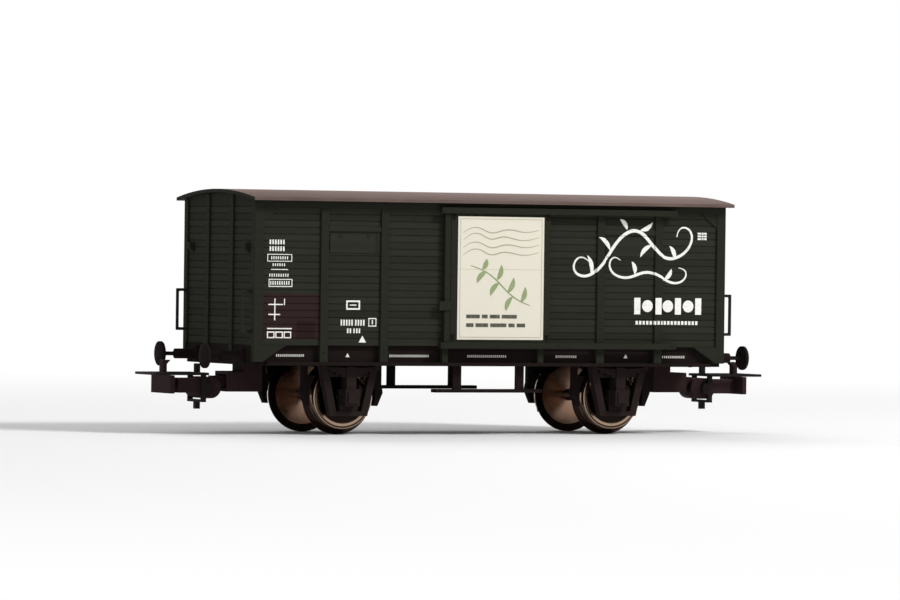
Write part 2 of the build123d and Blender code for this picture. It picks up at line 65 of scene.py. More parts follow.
def add_node(material, kind, inputs=None, **settings):
    """Adds a shader node with its settings; an input takes a value or another node's output."""
    node = material.node_tree.nodes.new("ShaderNode" + kind)
    for name, value in settings.items():
        setattr(node, name, value)
    for name, value in (inputs or {}).items():
        if isinstance(value, bpy.types.NodeSocket):
            material.node_tree.links.new(value, node.inputs[name])
        else:
            node.inputs[name].default_value = value
    return node


def new_material(name):
    """A material with no nodes yet."""
    material = bpy.data.materials.new(name)
    material.use_nodes = True
    material.node_tree.nodes.clear()
    return material


def moulded_plastic(name, deep, pale, roughness, specular):
    """Dyed polystyrene: satin, cloudy in tone and gloss, with a fine grain from the mould. The real grain is
    finer still; it is drawn just coarse enough to show."""
    material = new_material(name)
    place = add_node(material, "TexCoord").outputs["Object"]
    cloud = add_node(material, "TexNoise", {"Vector": place, "Scale": 1 / CLOUD_WIDTH, "Detail": 4.0})
    grain = add_node(material, "TexNoise", {"Vector": place, "Scale": 1 / GRAIN_WIDTH, "Detail": 2.0})
    tone = add_node(material, "Mix", {
        "Factor": cloud.outputs["Fac"], COLOUR_A: linear(deep), COLOUR_B: linear(pale),
    }, data_type="RGBA")
    gloss = add_node(material, "MapRange", {
        "Value": cloud.outputs["Fac"], "From Min": NOISE_LOW, "From Max": NOISE_HIGH,
        "To Min": roughness - PLASTIC_GLOSS_SPREAD, "To Max": roughness + PLASTIC_GLOSS_SPREAD,
    })
    bump = add_node(material, "Bump", {
        "Height": grain.outputs["Fac"], "Strength": 0.3, "Distance": GRAIN_DEPTH,
    })
    skin = add_node(material, "BsdfPrincipled", {
        "Base Color": tone.outputs[COLOUR_OUT], "Roughness": gloss.outputs["Result"],
        "Specular IOR Level": specular, "Normal": bump.outputs["Normal"],
    })
    add_node(material, "OutputMaterial", {"Surface": skin.outputs["BSDF"]})
    return material


def dress(names, material, edge_mm):
    """Gives CAD nodes a material and the small edge radius that a mould or a tool leaves."""
    for name in names:
        node = frame["nodes"][name]
        node.data.materials.clear()
        node.data.materials.append(material)
        weld = node.modifiers.new("Weld", "WELD")
        weld.merge_threshold = WELD_REACH
        flats = node.modifiers.new("Flats", "DECIMATE")
        flats.decimate_type = "DISSOLVE"
        flats.angle_limit = FLAT_WITHIN
        bevel = node.modifiers.new("Edges", "BEVEL")
        bevel.width = edge_mm * MM
        bevel.segments = 2
        bevel.limit_method = "ANGLE"
        bevel.angle_limit = SHARP_FROM
        bevel.harden_normals = True


chassis_plastic = moulded_plastic("black_brown_polystyrene", "#191413", "#251e1d",
                                  roughness=0.6, specular=0.006)
dress(["floor_board", "solebar_near", "solebar_far"], chassis_plastic, MOULDED_EDGE)
dress(["headstock_left", "headstock_right"], chassis_plastic, MOULDED_EDGE)

# Ballast plate
# A sheet of zinc-plated steel laid loose on the floor inside the body, sheared from strip, for weight.
# Rolling left long, faint streaks in its shine.
STREAK_LENGTH, STREAK_SLIMNESS = 4 * MM, 12
SHEARED_EDGE = 0.08
ballast_steel = new_material("zinc_plated_steel")
place = add_node(ballast_steel, "TexCoord").outputs["Object"]
along = add_node(ballast_steel, "Mapping", {"Vector": place, "Scale": (1, STREAK_SLIMNESS, STREAK_SLIMNESS)})
rolling = add_node(ballast_steel, "TexNoise", {
    "Vector": along.outputs["Vector"], "Scale": 1 / STREAK_LENGTH, "Detail": 5.0,
})
shine = add_node(ballast_steel, "MapRange", {"Value": rolling.outputs["Fac"], "To Min": 0.3, "To Max": 0.55})
sheet = add_node(ballast_steel, "BsdfPrincipled", {
    "Base Color": linear("#9a9ca0"), "Metallic": 1.0, "Roughness": shine.outputs["Result"],
})
add_node(ballast_steel, "OutputMaterial", {"Surface": sheet.outputs["BSDF"]})
dress(["ballast_plate"], ballast_steel, SHEARED_EDGE)

# Axle guards, brakes and step boards
# Axle guards with leaf springs and axle boxes, brake shoes on hangers and the two step boards, moulded in the
# same plastic as the chassis and clipped to it. The axle guards are painted a little paler than the chassis,
# a painted light that makes up for the shade under the body.
ENDS = ("left", "right")
SIDES = ("near", "far")
CORNERS = [f"{side}_{end}" for side in SIDES for end in ENDS]
THIN_EDGE = 0.06
# A lightened copy of the chassis plastic: painted light for the axle guards and their lid bolts, which sit in
# the body's shade.
lit_guard_plastic = moulded_plastic("lightened_polystyrene", "#201a19", "#302827", roughness=0.55, specular=0.012)
dress([f"axle_guard_{corner}" for corner in CORNERS], lit_guard_plastic, MOULDED_EDGE)
dress([f"brake_shoes_{end}" for end in ENDS], chassis_plastic, THIN_EDGE)
dress([f"step_board_{side}" for side in SIDES], chassis_plastic, THIN_EDGE)

# Wheelsets
# Turned metal wheels, chemically browned, on a steel axle. The lathe leaves fine rings. Running has polished
# the treads brighter than the web and the flange. In front, the lip and the outer edge of the rim are painted
# bright, a painted highlight, with a dark ring between them painted as the shade in the groove. The back face
# is painted paler than the front, a painted reflection of the lit floor.
AXLE_X, _, AXLE_Z = next(joint["pos_m"] for joint in frame["joints"]
                         if joint["name"] == "wheelset_right_spin")
BACK_FACE = -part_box("wheel_near_left")[1].y
FACE_START, TREAD_START = BACK_FACE + 0.1 * MM, BACK_FACE + 0.85 * MM
BACK_RADIUS, LIP_RADIUS, RING_RADIUS, EDGE_RADIUS = 5.1 * MM, 4.45 * MM, 5.0 * MM, 5.25 * MM
LIP_RISE, WHEEL_DISH = 0.08 * MM, 0.1
RING_PITCH, RING_DEPTH, STAIN_WIDTH = 0.15 * MM, 0.02 * MM, 2.5 * MM
ZONE_BLUR = 0.1 * MM
TURNED_EDGE, AXLE_EDGE = 0.06, 0.03
# The pale back colour is a painted reflection; the bright rim colour is tread polish plus a painted highlight
# on the lip and edge.
PAINTED_LIT_BACK, BROWNED_WEB, DARK_RIM, POLISH_AND_HIGHLIGHT_RIM = "#b08e79", "#211a17", "#2a1f1b", "#a08874"
WHEEL_ZONES = [
    # colour, and where it starts: out from the wagon's middle, and away from the axle
    (BROWNED_WEB, {"out": FACE_START}),
    (DARK_RIM, {"radius": BACK_RADIUS}),
    # Painted highlight on the lip, then painted shade in the groove, then polish and painted highlight on the
    # edge and tread
    (POLISH_AND_HIGHLIGHT_RIM, {"radius": LIP_RADIUS, "out": TREAD_START}),
    (DARK_RIM, {"radius": RING_RADIUS, "out": TREAD_START}),
    (POLISH_AND_HIGHLIGHT_RIM, {"radius": EDGE_RADIUS, "out": TREAD_START}),
]


def turned_metal(name, base, zones, roughness, dish):
    """Metal off the lathe: fine rings about the axle, drawn just coarse enough to show, and zones of other
    colours over the base. The web and the back face fall away from the hub by the dish, and a lip rises to
    the rim in front."""
    material = new_material(name)
    coordinates = add_node(material, "TexCoord").outputs["Object"]
    place = add_node(material, "SeparateXYZ", {"Vector": coordinates})
    along = add_node(material, "Math", {0: place.outputs["X"]}, operation="ABSOLUTE")
    from_axle = add_node(material, "Math", {0: along.outputs[0], 1: AXLE_X}, operation="SUBTRACT")
    above_axle = add_node(material, "Math", {0: place.outputs["Z"], 1: AXLE_Z}, operation="SUBTRACT")
    flat = add_node(material, "CombineXYZ", {"X": from_axle.outputs[0], "Y": above_axle.outputs[0]})
    radius = add_node(material, "VectorMath", {0: flat.outputs[0]}, operation="LENGTH").outputs["Value"]
    out = add_node(material, "Math", {0: place.outputs["Y"]}, operation="ABSOLUTE").outputs[0]
    measured = {"radius": radius, "out": out}
    rings = add_node(material, "TexNoise", {"W": radius, "Scale": 1 / RING_PITCH, "Detail": 2.0},
                     noise_dimensions="1D")
    stain = add_node(material, "TexNoise", {"Vector": coordinates, "Scale": 1 / STAIN_WIDTH, "Detail": 4.0})
    tone = linear(base)
    for colour, starts in zones:
        share = 1.0
        for measure, start in starts.items():
            past = add_node(material, "MapRange", {
                "Value": measured[measure], "From Min": start, "From Max": start + ZONE_BLUR,
            })
            share = add_node(material, "Math", {0: share, 1: past.outputs["Result"]},
                             operation="MULTIPLY").outputs[0]
        tone = add_node(material, "Mix", {"Factor": share, COLOUR_A: tone, COLOUR_B: linear(colour)},
                        data_type="RGBA").outputs[COLOUR_OUT]
    gloss = add_node(material, "MapRange", {
        "Value": stain.outputs["Fac"], "To Min": roughness - 0.1, "To Max": roughness + 0.15,
    })
    fall = add_node(material, "Math", {0: radius, 1: -dish}, operation="MULTIPLY")
    front = add_node(material, "Math", {0: out, 1: TREAD_START}, operation="GREATER_THAN")
    rise = add_node(material, "MapRange", {
        "Value": radius, "From Min": LIP_RADIUS, "From Max": RING_RADIUS, "To Max": LIP_RISE,
    })
    lip = add_node(material, "Math", {0: front.outputs[0], 1: rise.outputs["Result"]}, operation="MULTIPLY")
    form = add_node(material, "Math", {0: fall.outputs[0], 1: lip.outputs[0]}, operation="ADD")
    turning = add_node(material, "Bump", {"Height": form.outputs[0], "Strength": 1.0, "Distance": 1.0})
    bump = add_node(material, "Bump", {
        "Height": rings.outputs["Fac"], "Strength": 0.25, "Distance": RING_DEPTH,
        "Normal": turning.outputs["Normal"],
    })
    metal = add_node(material, "BsdfPrincipled", {
        "Base Color": tone, "Metallic": 1.0, "Roughness": gloss.outputs["Result"],
        "Normal": bump.outputs["Normal"],
    })
    add_node(material, "OutputMaterial", {"Surface": metal.outputs["BSDF"]})
    return material


wheel_metal = turned_metal("browned_brass", PAINTED_LIT_BACK, WHEEL_ZONES, roughness=0.19, dish=WHEEL_DISH)
axle_metal = turned_metal("bright_steel", "#55504c", (), roughness=0.38, dish=0.0)
dress([f"wheel_{corner}" for corner in CORNERS], wheel_metal, TURNED_EDGE)
dress([f"axle_{end}" for end in ENDS], axle_metal, AXLE_EDGE)

# Side walls
# Planked panels left and right of the door, with the cant rail, posts, jambs and gussets in front of them.
# Polystyrene sprayed satin dark green; each plank took the paint a little differently. Maroon fields are
# sprayed over the green near the left-hand corner of each side.
PLANKS_LOW, PLANKS_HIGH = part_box("side_planks_near")
PLANK_COUNT = 21
PLANK_PITCH = (PLANKS_HIGH.z - PLANKS_LOW.z) / PLANK_COUNT
PLANK_SHARE, PLANK_EDGE = 0.5, 0.03
PAINT_STREAK, STREAK_STRETCH = 0.5 * MM, 0.12
PEEL_WIDTH, PEEL_DEPTH = 0.1 * MM, 0.015 * MM
PAINT_GLOSS_SPREAD = 0.05
FRAME_DEEP, FRAME_PALE = "#23251e", "#2b2c25"
NUMBER_A, NUMBER_B, NUMBER_OUT = 2, 3, 0
MAROON_PATCHES = [
    # colour, and the box in metres, seen from outside
    ("#302323", {"right": (-43.2 * MM, -32.7 * MM), "up": (16.5 * MM, 24.2 * MM)}),
    ("#291c1d", {"right": (-37.0 * MM, -33.6 * MM), "up": (16.6 * MM, 19.6 * MM)}),
]


def sprayed_paint(name, deep, pale, roughness, specular, planked=False, covers=()):
    """Satin paint on plastic: orange peel, drawn just coarse enough to show, faint streaks along the wall, a
    tone for each plank, and other colours laid over it inside boxes that count to the right, outwards and up
    as seen from outside."""
    material = new_material(name)
    coordinates = add_node(material, "TexCoord").outputs["Object"]
    place = add_node(material, "SeparateXYZ", {"Vector": coordinates})
    along = add_node(material, "Mapping", {"Vector": coordinates, "Scale": (STREAK_STRETCH, 1, 1)})
    streak = add_node(material, "TexNoise", {
        "Vector": along.outputs["Vector"], "Scale": 1 / PAINT_STREAK, "Detail": 4.0,
    })
    peel = add_node(material, "TexNoise", {"Vector": coordinates, "Scale": 1 / PEEL_WIDTH, "Detail": 2.0})
    tone = streak.outputs["Fac"]
    if planked:
        level = add_node(material, "Math", {0: place.outputs["Z"], 1: PLANKS_LOW.z}, operation="SUBTRACT")
        number = add_node(material, "Math", {0: level.outputs[0], 1: PLANK_PITCH}, operation="DIVIDE")
        plank = add_node(material, "Math", {0: number.outputs[0]}, operation="FLOOR")
        own = add_node(material, "TexWhiteNoise", {"W": plank.outputs[0]}, noise_dimensions="1D")
        tone = add_node(material, "Mix", {
            "Factor": PLANK_SHARE, NUMBER_A: streak.outputs["Fac"], NUMBER_B: own.outputs["Value"],
        }, data_type="FLOAT").outputs[NUMBER_OUT]
    colour = add_node(material, "Mix", {"Factor": tone, COLOUR_A: linear(deep), COLOUR_B: linear(pale)},
                      data_type="RGBA").outputs[COLOUR_OUT]
    if covers:
        side = add_node(material, "Math", {0: place.outputs["Y"]}, operation="SIGN")
        turned = add_node(material, "Math", {0: side.outputs[0], 1: place.outputs["X"]}, operation="MULTIPLY")
        right = add_node(material, "Math", {0: turned.outputs[0], 1: -1.0}, operation="MULTIPLY")
        out = add_node(material, "Math", {0: place.outputs["Y"]}, operation="ABSOLUTE")
        seen = {"right": right.outputs[0], "out": out.outputs[0], "up": place.outputs["Z"]}
    for cover, box in covers:
        share = 1.0
        for direction, (low, high) in box.items():
            inside = add_node(material, "Math", {
                0: seen[direction], 1: (low + high) / 2, 2: (high - low) / 2,
            }, operation="COMPARE")
            share = add_node(material, "Math", {0: share, 1: inside.outputs[0]},
                             operation="MULTIPLY").outputs[0]
        colour = add_node(material, "Mix", {"Factor": share, COLOUR_A: colour, COLOUR_B: linear(cover)},
                          data_type="RGBA").outputs[COLOUR_OUT]
    gloss = add_node(material, "MapRange", {
        "Value": streak.outputs["Fac"], "From Min": NOISE_LOW, "From Max": NOISE_HIGH,
        "To Min": roughness - PAINT_GLOSS_SPREAD, "To Max": roughness + PAINT_GLOSS_SPREAD,
    })
    bump = add_node(material, "Bump", {
        "Height": peel.outputs["Fac"], "Strength": 0.25, "Distance": PEEL_DEPTH,
    })
    paint = add_node(material, "BsdfPrincipled", {
        "Base Color": colour, "Roughness": gloss.outputs["Result"], "Specular IOR Level": specular,
        "Normal": bump.outputs["Normal"],
    })
    add_node(material, "OutputMaterial", {"Surface": paint.outputs["BSDF"]})
    return material


plank_green = sprayed_paint("green_plank_paint", "#25261f", "#30312a", roughness=0.65, specular=0.015,
                            planked=True, covers=MAROON_PATCHES)
frame_green = sprayed_paint("green_frame_paint", FRAME_DEEP, FRAME_PALE, roughness=0.62, specular=0.015)
dress([f"side_planks_{side}" for side in SIDES], plank_green, PLANK_EDGE)
dress([f"side_frame_{side}" for side in SIDES], frame_green, MOULDED_EDGE)

# Hatch fittings
# Each ventilation hatch hangs on two small strap hinges below its drip strip and closes against a guide bar
# on the side of the door. They are moulded on the wall and sprayed with it.
HATCH_FACE = -15.5
HINGE_X, HINGE_Z, HINGE_SIZE = (23.7, 29.0), 34.3, (0.7, 0.05, 0.8)
GUIDE_X, GUIDE_Z, GUIDE_SIZE = 22.1, 33.0, (0.65, 0.05, 3.3)
FIELD_INSET, FIELD_RISE, PLATE_EDGE = 0.12, 0.25, 0.02 * MM
FACING_COSINE = 0.9
MIRRORED = (-1, 1)
NEAR, FAR = 0.0, math.pi


def start_piece(name):
    """An empty mesh object, open in edit mode, with nothing else selected."""
    bpy.ops.object.select_all(action="DESELECT")
    piece = bpy.data.objects.new(name, bpy.data.meshes.new(name))
    bpy.context.scene.collection.objects.link(piece)
    bpy.context.view_layer.objects.active = piece
    piece.select_set(True)
    bpy.ops.object.mode_set(mode="EDIT")
    return piece


def select_facing(piece, direction):
    """Selects, in edit mode, the faces that look along a direction."""
    bpy.ops.mesh.select_mode(type="FACE")
    bpy.ops.mesh.select_all(action="DESELECT")
    bpy.ops.object.mode_set(mode="OBJECT")
    for face in piece.data.polygons:
        face.select = face.normal.dot(Vector(direction)) > FACING_COSINE
    bpy.ops.object.mode_set(mode="EDIT")


def small_plate(name, size, foot=1.0):
    """A plate that stands out from a near wall with its back on Y = 0: drawn in at its foot, with a raised
    field and soft edges. Its width, thickness and height are in mm."""
    width, thickness, height = size
    plate = start_piece(name)
    centre = (0, -thickness / 2 * MM, 0)
    bpy.ops.mesh.primitive_cube_add(size=MM, location=centre)
    bpy.ops.transform.resize(value=(width, thickness, height), center_override=centre)
    select_facing(plate, (0, 0, -1))
    bpy.ops.transform.resize(value=(foot, 1, 1), center_override=centre)
    select_facing(plate, (0, -1, 0))
    bpy.ops.mesh.inset(thickness=FIELD_INSET * width * MM)
    bpy.ops.transform.translate(value=(0, -FIELD_RISE * thickness * MM, 0))
    bpy.ops.mesh.select_all(action="SELECT")
    bpy.ops.mesh.bevel(offset=PLATE_EDGE, segments=2, affect="EDGES")
    bpy.ops.object.mode_set(mode="OBJECT")
    return plate


def set_copies(name, master, spots, turns, material, body):
    """Joins copies of a modelled piece into one mesh: at each spot, in mm as on the near side, turned about
    Z."""
    bpy.ops.object.select_all(action="DESELECT")
    for turn in turns:
        for spot in spots:
            twin = bpy.data.objects.new(name, master.data.copy())
            twin.data.transform(Matrix.Rotation(turn, 4, "Z") @ Matrix.Translation(Vector(spot) * MM))
            bpy.context.scene.collection.objects.link(twin)
            twin.select_set(True)
    bpy.context.view_layer.objects.active = twin
    bpy.ops.object.join()
    twin.name = name
    twin.data.materials.clear()
    twin.data.materials.append(material)
    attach(twin, body)
    return twin


hinge = small_plate("hinge", HINGE_SIZE)
hinge_spots = [(sign * x, HATCH_FACE, HINGE_Z) for sign in MIRRORED for x in HINGE_X]
hatch_hinges = set_copies("hatch_hinges", hinge, hinge_spots, (NEAR, FAR), frame_green,
                          "wagon")
guide = small_plate("guide", GUIDE_SIZE)
guide_spots = [(sign * GUIDE_X, HATCH_FACE, GUIDE_Z) for sign in MIRRORED]
hatch_guides = set_copies("hatch_guides", guide, guide_spots, (NEAR, FAR), frame_green,
                          "wagon")
for master in (hinge, guide):
    bpy.data.objects.remove(master)

# Printed marks on the sides
# Rows of bars, small frames, a scroll and a bold band, pad printed in white on the finished sides. The pad
# pushes the ink over the posts and a third of the way into the grooves, so every mark follows the planks;
# beside a raised edge the ink bridges the corner.
CELL = 0.09
IN_FRONT = -20.0 * MM
INK_PROUD, INK_THICKNESS, OVERPRINT = 0.016 * MM, 0.02 * MM, 0.006 * MM
INK_SPOT = 0.4 * MM
PLANK_FACE, GROOVE_SAG = -15.35 * MM, 0.33
PAD_REACH = (0.0, -0.1 * MM, 0.1 * MM)
PAD = [Vector((x, 0, z)) for x in PAD_REACH for z in PAD_REACH]
UPRIGHT = (math.pi / 2, 0, 0)
BROAD, FINE, HAIR = 0.28, 0.2, 0.16
TRIANGLE, DISC = 3, 24
STROKE_STEPS, STROKE_CUTS, STROKE_ORDER = 8, 5, 4
LEAF_RADII = (0.15, 1.6, 0.05)


def add_bar(x0, x1, z0, z1):
    """Flat upright bar between two corners in mm, in cells fine enough to lie in a groove."""
    centre = ((x0 + x1) / 2 * MM, IN_FRONT, (z0 + z1) / 2 * MM)
    across, up = (max(1, math.ceil(size / CELL)) for size in (x1 - x0, z1 - z0))
    bpy.ops.mesh.select_all(action="DESELECT")
    bpy.ops.mesh.primitive_grid_add(x_subdivisions=across, y_subdivisions=up, size=MM, location=centre,
                                    rotation=UPRIGHT)
    bpy.ops.transform.resize(value=(x1 - x0, 1, z1 - z0), center_override=centre)


def add_dashes(x, z, height, widths, gap=0.22):
    """A row of upright bars, from its lower left corner."""
    for width in widths:
        add_bar(x, x + width, z, z + height)
        x += width + gap


def add_frame(x0, x1, z0, z1, line=0.16):
    """Outline of a box."""
    for bar in ((x0, x1, z0, z0 + line), (x0, x1, z1 - line, z1),
                (x0, x0 + line, z0 + line, z1 - line), (x1 - line, x1, z0 + line, z1 - line)):
        add_bar(*bar)


def add_dot(x, z, radius, corners):
    """A filled dot of three or more corners; three make a triangle that stands on its base."""
    bpy.ops.mesh.select_all(action="DESELECT")
    bpy.ops.mesh.primitive_circle_add(vertices=corners, radius=radius * MM, fill_type="TRIFAN",
                                      location=(x * MM, IN_FRONT, z * MM), rotation=UPRIGHT)
    bpy.ops.mesh.subdivide(number_cuts=math.ceil(radius / CELL))


def add_stroke(piece, points, width, radii, proud=0.0):
    """Pen stroke along a smooth curve by (x, z) points in mm; radii swell and thin it. One drawn over another
    lies a little proud of it."""
    curve = bpy.data.curves.new("stroke", "CURVE")
    curve.dimensions = "3D"
    curve.twist_mode = "Z_UP"
    curve.resolution_u = STROKE_STEPS
    curve.extrude = width / 2 * MM
    spline = curve.splines.new("NURBS")
    spline.points.add(len(points) - 1)
    for point, (x, z), radius in zip(spline.points, points, radii):
        point.co = (x * MM, z * MM, 0, 1)
        point.radius = radius
        point.tilt = math.pi / 2
    spline.order_u = min(STROKE_ORDER, len(points))
    spline.use_endpoint_u = True
    stroke = bpy.data.objects.new("stroke", curve)
    bpy.context.scene.collection.objects.link(stroke)
    bpy.ops.object.select_all(action="DESELECT")
    stroke.select_set(True)
    bpy.context.view_layer.objects.active = stroke
    bpy.ops.object.convert(target="MESH")
    before_wall = Matrix.Translation((0, IN_FRONT - proud, 0))
    stroke.data.transform(before_wall @ Matrix.Rotation(math.pi / 2, 4, "X"))
    bpy.ops.object.mode_set(mode="EDIT")
    bpy.ops.mesh.select_all(action="SELECT")
    bpy.ops.mesh.subdivide(number_cuts=STROKE_CUTS)
    bpy.ops.object.mode_set(mode="OBJECT")
    piece.select_set(True)
    bpy.context.view_layer.objects.active = piece
    bpy.ops.object.join()


def swell(count, ends=0.25):
    """Radii that rise from thin ends to full width in the middle of a stroke."""
    return [ends + (1 - ends) * math.sin(math.pi * k / (count - 1)) for k in range(count)]


def add_leaf(piece, foot, tip, width, bow=0.25):
    """A stroke that swells between two points, a little bowed, as a leaf is drawn with a soft pen."""
    (x0, z0), (x1, z1) = foot, tip
    middle = ((x0 + x1) / 2 + bow * (z1 - z0), (z0 + z1) / 2 - bow * (x1 - x0))
    add_stroke(piece, [foot, middle, tip], width, LEAF_RADII, OVERPRINT)


def print_on(near, form, far_name, ink, bodies, proud):
    """Lays flat marks on a form, gives them the ink's thickness and copies them, turned, to the far side."""
    bpy.ops.object.select_all(action="DESELECT")
    near.select_set(True)
    bpy.context.view_layer.objects.active = near
    surface = BVHTree.FromObject(form, bpy.context.evaluated_depsgraph_get())
    for vertex in near.data.vertices:
        points = [surface.ray_cast(vertex.co + offset, (0, 1, 0))[0] for offset in PAD]
        depths = [point.y for point in points if point is not None]
        ground = min(depths)
        if ground > PLANK_FACE - INK_PROUD and vertex.co.z > PLANKS_LOW.z:
            ground = PLANK_FACE + GROOVE_SAG * (depths[0] - PLANK_FACE)
        vertex.co.y += ground - IN_FRONT - proud
    bpy.ops.object.mode_set(mode="EDIT")
    bpy.ops.mesh.select_all(action="SELECT")
    bpy.ops.mesh.normals_make_consistent()
    bpy.ops.object.mode_set(mode="OBJECT")
    film = near.modifiers.new("Film", "SOLIDIFY")
    film.thickness = INK_THICKNESS
    bpy.ops.object.modifier_apply(modifier="Film")
    far = bpy.data.objects.new(far_name, near.data.copy())
    far.data.transform(Matrix.Rotation(math.pi, 4, "Z"))
    bpy.context.scene.collection.objects.link(far)
    for piece, body in zip((near, far), bodies):
        piece.data.materials.clear()
        piece.data.materials.append(ink)
        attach(piece, body)


def printing_ink(name, colour, ground):
    """Pad-printing ink: nearly flat in gloss, with the ground showing faintly in small spots."""
    material = new_material(name)
    place = add_node(material, "TexCoord").outputs["Object"]
    spots = add_node(material, "TexNoise", {"Vector": place, "Scale": 1 / INK_SPOT, "Detail": 3.0})
    cover = add_node(material, "MapRange", {
        "Value": spots.outputs["Fac"], "From Min": 0.25, "From Max": 0.55, "To Min": 0.85, "To Max": 1.0,
    })
    tone = add_node(material, "Mix", {
        "Factor": cover.outputs["Result"], COLOUR_A: linear(ground), COLOUR_B: linear(colour),
    }, data_type="RGBA")
    film = add_node(material, "BsdfPrincipled", {
        "Base Color": tone.outputs[COLOUR_OUT], "Roughness": 0.55, "Specular IOR Level": 0.2,
    })
    add_node(material, "OutputMaterial", {"Surface": film.outputs["BSDF"]})
    return material


marks = start_piece("white_marks_near")
# Upper block near the left-hand corner
add_dashes(-42.2, 32.65, 0.8, [BROAD] * 6)
add_dashes(-42.2, 31.5, 0.8, [BROAD] * 6)
add_frame(-42.6, -38.0, 29.7, 31.0, line=0.14)
add_dashes(-41.9, 30.1, 0.5, [FINE] * 8)
add_dashes(-41.6, 28.95, 0.45, [FINE] * 6)
add_bar(-41.9, -38.7, 28.3, 28.44)
add_dashes(-42.2, 27.15, 0.5, [FINE] * 9)
add_frame(-42.3, -37.9, 25.4, 26.75, line=0.14)
add_dashes(-42.0, 25.75, 0.65, [FINE] * 9)
# Ruled lines and boxes on the maroon
for foot, top in ((19.7, 20.6), (20.8, 22.3), (22.5, 23.4)):
    add_bar(-41.2, -41.0, foot, top)
add_bar(-42.3, -39.6, 22.3, 22.5)
add_bar(-42.3, -40.1, 20.6, 20.8)
add_bar(-39.4, -39.22, 22.3, 23.4)
add_bar(-42.5, -37.9, 18.2, 18.4)
for box in range(3):
    add_frame(-42.5 + 1.55 * box, -41.1 + 1.55 * box, 16.65, 17.8, line=0.2)
# Lower block in the next bay
add_frame(-27.8, -25.2, 21.6, 23.2, line=0.28)
add_bar(-27.1, -25.9, 22.3, 22.5)
add_dashes(-28.8, 18.9, 1.0, [BROAD] * 5)
add_dashes(-26.1, 18.9, 1.0, [BROAD] * 4)
add_frame(-23.6, -22.1, 18.75, 20.2)
add_bar(-22.95, -22.75, 19.1, 19.85)
add_dashes(-27.6, 17.6, 0.8, [BROAD] * 2)
add_dashes(-26.4, 17.6, 0.8, [BROAD] * 3)
add_dot(-24.7, 16.4, 0.8, TRIANGLE)
# Small field near the right-hand corner, bold band and its line
for row in range(3):
    add_dashes(39.7, 34.35 + 0.48 * row, 0.32, (0.7, 0.4, 0.5), gap=0.1)
for k in range(4):
    add_bar(27.4 + 4.0 * k, 28.6 + 4.0 * k, 21.2, 24.1)
for k in range(3):
    add_dot(30.0 + 4.0 * k, 22.65, 1.05, DISC)
add_dashes(27.7, 19.4, 0.65, [0.45] * 18, gap=0.24)
# Fine lines on the solebar
for x, count in ((-40.4, 14), (-19.2, 20), (-4.4, 20), (12.6, 11), (33.4, 12)):
    add_dashes(x, 13.5, 0.42, [HAIR] * count)
add_dot(-27.1, 13.7, 0.45, TRIANGLE)
add_dot(26.2, 13.7, 0.45, TRIANGLE)
bpy.ops.object.mode_set(mode="OBJECT")
# Scroll of two drawn stems with leaves
VINE = [(18.4, 30.4), (17.0, 31.6), (15.2, 30.3), (15.6, 28.0), (18.6, 27.4), (21.6, 30.4), (24.0, 34.6),
        (27.6, 36.6), (30.4, 33.8), (33.0, 30.6), (36.6, 31.2), (39.0, 34.0), (38.2, 36.8), (35.8, 36.6),
        (35.6, 34.8)]
TENDRIL = [(24.6, 30.6), (23.4, 31.6), (22.0, 30.2), (23.0, 28.0), (26.2, 27.2), (29.2, 28.9), (32.0, 28.2),
           (34.6, 26.4), (37.6, 27.0), (37.8, 29.2), (36.0, 29.4)]
VINE_LEAVES = [((18.9, 28.1), (18.1, 31.4)), ((22.4, 32.4), (20.2, 34.6)), ((25.8, 36.0), (24.4, 37.8)),
               ((28.4, 35.9), (30.8, 37.3)), ((30.6, 33.3), (28.4, 31.2)), ((35.2, 30.9), (34.2, 33.2)),
               ((27.4, 28.2), (26.8, 30.4)), ((33.2, 27.3), (34.6, 29.2))]
add_stroke(marks, VINE, 0.62, swell(len(VINE)))
add_stroke(marks, TENDRIL, 0.5, swell(len(TENDRIL)))
for foot, tip in VINE_LEAVES:
    add_leaf(marks, foot, tip, 0.95)

# The walls, the hatch fittings and the solebar as one form for the ink to lie on
bpy.ops.object.select_all(action="DESELECT")
walls = [frame["nodes"][name] for name in ("solebar_near", "side_frame_near", "side_planks_near")]
for carrier in (hatch_hinges, hatch_guides, *walls):
    form = bpy.data.objects.new("form", carrier.data.copy())
    bpy.context.scene.collection.objects.link(form)
    form.select_set(True)
bpy.context.view_layer.objects.active = form
bpy.ops.object.join()
white_ink = printing_ink("white_printing_ink", "#efeee8", "#2b2d25")
print_on(marks, form, "white_marks_far", white_ink, ("wagon", "wagon"), INK_PROUD)
bpy.data.objects.remove(form)

# Bolt heads
# Round heads on the posts' feet and the ends of the door rails, and on the axle box lids, buffer bases and
# headstocks below. Each is moulded with the piece that it seems to hold.
POST_X, POST_FACE, POST_BOLTS_Z = (9.15, 20.7, 32.0), -15.7, (12.9, 14.3)
RAIL_FACE, RAIL_BOLTS_X, RAIL_BOLTS_Z = -16.95, (-9.9, 12.0, 34.2), (15.58, 38.87)
LID_FACE, LID_BOLTS = -14.55, (-0.6, 0.6)
BUFFER_Y, BUFFER_Z, BASE_FACE, BASE_BOLTS = 10.05, 13.5, -45.35, (-1.05, 1.05)
HEADSTOCK_FACE, HEADSTOCK_BOLTS_Y, HEADSTOCK_BOLTS_Z = -44.75, (7.6, 13.4), (12.5, 14.9)
BOLT_CORNERS, BOLT_RADIUS, BOLT_HEIGHT = 12, 0.19 * MM, 0.07 * MM
DOME_INSET, DOME_RISES = 0.06 * MM, (0.03 * MM, 0.015 * MM)
LEFT, RIGHT = -math.pi / 2, math.pi / 2
bolt = start_piece("bolt")
